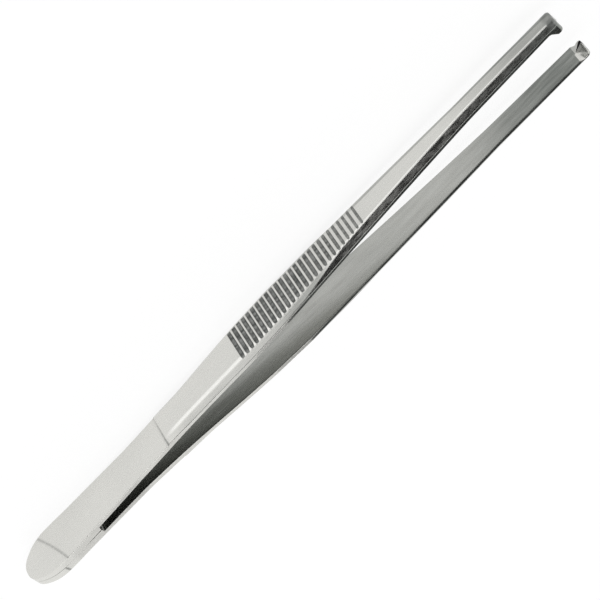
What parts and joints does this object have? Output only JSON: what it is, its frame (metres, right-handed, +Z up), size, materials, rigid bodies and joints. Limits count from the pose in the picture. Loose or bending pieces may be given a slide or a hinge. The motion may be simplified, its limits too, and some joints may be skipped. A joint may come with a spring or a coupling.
{
  "type": "thumb forceps",
  "caption": "Surgical thumb forceps with serrated grips and toothed tips, two steel blades welded together at the heel.",
  "frame": {"origin": "centre of the bounding box's underside, on the surface that the forceps lies on", "axes": "+X along the forceps from the heel to the tips, +Y towards the two-toothed blade, +Z up across the width of the blades"},
  "size_m": [0.145, 0.0126, 0.0106],
  "materials": {
    "stainless_steel": "satin"
  },
  "bodies": {
    "root": {"two_toothed_blade": "stainless_steel", "single_toothed_blade": "stainless_steel"}
  },
  "joints": []
}
